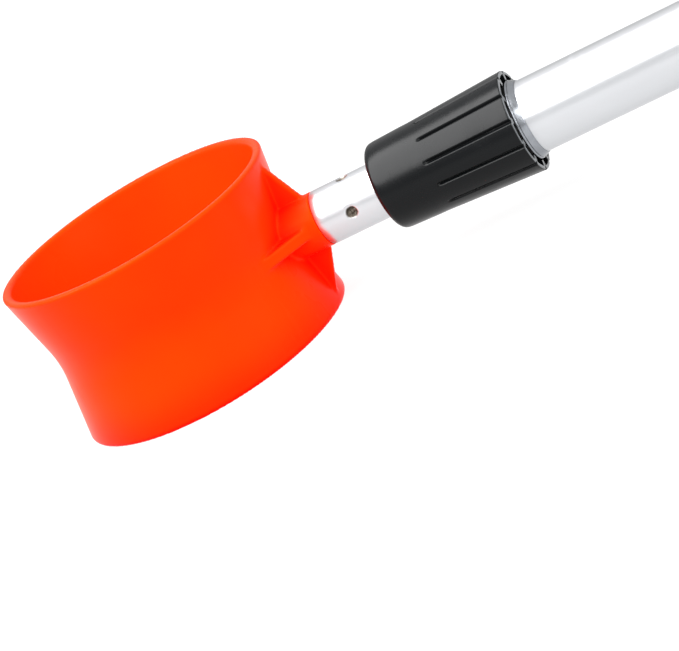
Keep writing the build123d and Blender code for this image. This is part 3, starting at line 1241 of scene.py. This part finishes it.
def band_groove(at, level, width, slope, depth, rounding, rise=0.0):
    """Corners of a groove turned around a moulding; its far side ends higher by rise."""
    return [
        (at, level, rounding),
        (at + slope, level - depth, rounding),
        (at + width - slope, level - depth, rounding),
        (at + width, level + rise, rounding),
    ]


BANDS = 3
GRIP_BAND_PITCH = 5.0
GRIP_BAND = {"width": 2.0, "slope": 0.6, "depth": 0.6, "rounding": 0.3}
CAP_BAND_PITCH = 2.2
CAP_BAND = {"width": 1.2, "slope": 0.4, "depth": 0.45, "rounding": 0.2}
SWELL = 90.0
SWELL_RADIUS = 11.6


class RETRIEVER_OT_grip(bpy.types.Operator):
    """Builds the tapered rubber grip with its rows of studs"""

    bl_idname = "retriever.grip"
    bl_label = "Grip"

    def execute(self, context):
        sizes = context.scene.retriever_handle
        start, end = stations("grip")
        bore = radius_of("base_tube") + BONDED
        butt = radius_of("grip")
        corners = [(start, bore, 0.2), (start, 10.6, 1.0)]
        corners += [(start + 5.0, 10.9, 1.5), (start + 7.0, 10.5, 0.6)]
        for band in range(BANDS):
            at = start + 10.0 + band * GRIP_BAND_PITCH
            corners += band_groove(at, 10.45 + band * 0.08, **GRIP_BAND)
        corners += [(start + SWELL, SWELL_RADIUS, 120.0)]
        rise = (butt - SWELL_RADIUS) / (end - start - SWELL)
        for band in range(BANDS):
            at = end - 40.0 + band * GRIP_BAND_PITCH
            level = SWELL_RADIUS + rise * (at - start - SWELL)
            corners += band_groove(at, level, rise=0.02, **GRIP_BAND)
        corners += [(end, butt, 0.2), (end, bore, 0.2)]
        grip = turned("grip_moulded", corners, 96, 8)
        soft = rubber("grip_rubber", sizes.grip, 0.55, 0.72)
        stud = stud_shape("grip_stud", sizes.stud_size)
        tree = stud_rows_tree()
        pitch = sizes.stud_pitch / MM
        for label, begin, finish, level, far_level in (
            ("front", start + 26.0, start + 88.0, 10.68, 11.58),
            ("back", start + 92.0, end - 44.0, 11.62, butt - 0.42),
        ):
            rows = int((finish - begin) / pitch)
            grip = grow(
                grip,
                tree,
                stud=stud,
                rows=rows,
                around=sizes.around,
                pitch=sizes.stud_pitch,
                first_radius=level * MM,
                taper=(far_level - level) / (finish - begin),
                start=(RING_X + begin * MM, 0.0, SHAFT_Z),
                material=soft,
            )
        bpy.data.objects.remove(stud)
        finish_piece(grip, soft, "grip_rubber", "handle", "grip")
        return {"FINISHED"}


class RETRIEVER_OT_cap(bpy.types.Operator):
    """Builds the end cap and gives the screw, plug and bumper their finish"""

    bl_idname = "retriever.cap"
    bl_label = "End Cap"

    def execute(self, context):
        sizes = context.scene.retriever_handle
        start, end = stations("grip_cap")
        wide = radius_of("grip_cap")
        inner = radius_of("grip") + 0.05
        plate = end - 7.0
        head = radius_of("cap_screw")
        face = end - 0.2
        corners = [(start, inner, 0.1), (start, inner + 0.9, 0.3), (start + 3.0, wide, 2.0)]
        for band in range(BANDS):
            corners += band_groove(start + 6.2 + band * CAP_BAND_PITCH, wide, **CAP_BAND)
        corners += [
            (end, wide, 2.2),
            (end, 9.4, 0.3),
            (end - 0.5, 9.0, 0.2),
            (end - 0.5, 8.2, 0.2),
            (end, 7.8, 0.3),
            (end, head + 0.1, 0.1),
            (face, head + 0.1, 0),
            (face - 2.0, 1.45, 0),
            (plate, 1.45, 0),
            (plate, inner, 0),
        ]
        cap = turned("grip_cap_moulded", corners, 128, 6)
        finish_piece(cap, rubber("cap_rubber", sizes.cap, 0.5, 0.65), "cap_rubber", "handle", "grip_cap")
        dress_node("cap_screw", bpy.data.materials["spring_steel"])
        dress_node("butt_plug", bpy.data.materials["sleeve_dark"])
        dress_node("butt_bumper", rubber("bumper_rubber", sizes.bumper, 0.6, 0.75))
        return {"FINISHED"}


# ---- stage ----------------------------------------------------------------------------------------


# The camera looks at a point given from the ring's centre, in millimetres, with angles in degrees.
CAMERA_AIM = (22.960, 0.0, -19.025)
CAMERA_AWAY = 445.14
CAMERA_ANGLES = (-69.918, 17.569, -31.416)
KEY_FROM = (-0.27, -0.28, 0.75)
KEY_SIZE = (0.9, 1.2)
FILL_FROM = (0.6, -0.3, 0.3)
FILL_SIZE = (0.5, 0.5)
HORIZON_SHARE = 0.5
WHITE = (1, 1, 1)


def area_light(name, at, aim, size, power):
    """A white rectangular soft light at one point, aimed at another, both in metres."""
    data = bpy.data.lights.new(name, "AREA")
    data.shape = "RECTANGLE"
    data.size, data.size_y = size
    data.energy = power
    data.color = WHITE
    light = bpy.data.objects.new(name, data)
    light.location = at
    light.rotation_euler = (Vector(aim) - Vector(at)).to_track_quat("-Z", "Y").to_euler()
    bpy.context.scene.collection.objects.link(light)
    return light


class RETRIEVER_OT_stage(bpy.types.Operator):
    """Lays the pale floor and sets the soft light and the camera"""

    bl_idname = "retriever.stage"
    bl_label = "Floor, Light and Camera"

    def execute(self, context):
        sizes = context.scene.retriever_stage
        scene = context.scene
        half = sizes.floor_size / 2
        mesh = bpy.data.meshes.new("floor")
        corners = [(-half, -half, 0), (half, -half, 0), (half, half, 0), (-half, half, 0)]
        mesh.from_pydata(corners, [], [(0, 1, 2, 3)])
        floor = new_object("floor", mesh, smooth=False)
        material, tree, shader, place = new_material("floor_paper", Emission_Strength=0.9)
        shader.inputs["Emission Color"].default_value = (*WHITE, 1)
        fibres = noise(tree, place, 40.0, 3.0)
        near = tuple(channel * 0.985 for channel in sizes.floor)
        link(tree, tint(tree, fibres, sizes.floor, near), shader, "Base Color")
        shader.inputs["Roughness"].default_value = 0.85
        mesh.materials.append(material)
        world = bpy.data.worlds.new("studio")
        world.use_nodes = True
        studio = Tree(world.node_tree)
        back = world.node_tree.nodes["Background"]
        back.inputs["Color"].default_value = (*WHITE, 1)
        ray = studio.add("ShaderNodeTexCoord").outputs["Generated"]
        rise = studio.add("ShaderNodeSeparateXYZ", {0: ray}).outputs["Z"]
        level = spread(studio, rise, 0.02, 0.42, sizes.sky * HORIZON_SHARE, sizes.sky)
        studio.tree.links.new(level, back.inputs["Strength"])
        scene.world = world
        ring = Vector((RING_X, 0.0, SHAFT_Z))
        area_light("key_above", ring + Vector(KEY_FROM), ring, KEY_SIZE, sizes.key_power)
        area_light("fill_right", ring + Vector(FILL_FROM), ring, FILL_SIZE, sizes.fill_power)
        data = bpy.data.cameras.new("camera")
        data.lens = sizes.lens
        data.sensor_width = 36.0
        data.clip_start = 0.01
        data.clip_end = 200.0
        camera = bpy.data.objects.new("camera", data)
        scene.collection.objects.link(camera)
        aim = ring + Vector(CAMERA_AIM) * MM
        bearing, rise, roll = (math.radians(value) for value in CAMERA_ANGLES)
        back = Vector(
            (math.cos(rise) * math.cos(bearing), math.cos(rise) * math.sin(bearing), math.sin(rise))
        )
        side = Vector((0, 0, 1)).cross(back).normalized()
        up = back.cross(side)
        right = side * math.cos(roll) + up * math.sin(roll)
        over = back.cross(right)
        pose = Matrix((right, over, back)).transposed().to_4x4()
        pose.translation = aim + back * CAMERA_AWAY * MM
        camera.matrix_world = pose
        scene.camera = camera
        scene.view_settings.view_transform = "Standard"
        return {"FINISHED"}


# ---- panel and registration -----------------------------------------------------------------------

OPERATORS = (
    RETRIEVER_OT_trap_ring,
    RETRIEVER_OT_plunger,
    RETRIEVER_OT_tubes,
    RETRIEVER_OT_collars,
    RETRIEVER_OT_locks,
    RETRIEVER_OT_grip,
    RETRIEVER_OT_cap,
    RETRIEVER_OT_stage,
)


class RETRIEVER_PT_panel(bpy.types.Panel):
    """Lists the retriever's pieces and their sizes"""

    bl_label = "Golf Ball Retriever"
    bl_idname = "RETRIEVER_PT_panel"
    bl_space_type = "VIEW_3D"
    bl_region_type = "UI"
    bl_category = "Retriever"

    def draw(self, context):
        layout = self.layout
        for operator in OPERATORS:
            layout.operator(operator.bl_idname)
        for name, group in GROUPS.items():
            box = layout.box()
            for key in group.__annotations__:
                box.prop(getattr(context.scene, name), key)


def register():
    for group in GROUPS.values():
        bpy.utils.register_class(group)
    for name, group in GROUPS.items():
        setattr(bpy.types.Scene, name, bpy.props.PointerProperty(type=group))
    for kind in (*OPERATORS, RETRIEVER_PT_panel):
        bpy.utils.register_class(kind)


def unregister():
    for kind in (RETRIEVER_PT_panel, *reversed(OPERATORS)):
        bpy.utils.unregister_class(kind)
    for name, group in GROUPS.items():
        delattr(bpy.types.Scene, name)
        bpy.utils.unregister_class(group)


def main():
    """Builds every piece in order."""
    register()
    bpy.ops.retriever.trap_ring()
    bpy.ops.retriever.plunger()
    bpy.ops.retriever.tubes()
    bpy.ops.retriever.collars()
    bpy.ops.retriever.locks()
    bpy.ops.retriever.grip()
    bpy.ops.retriever.cap()
    bpy.ops.retriever.stage()


if __name__ == "__main__":
    main()
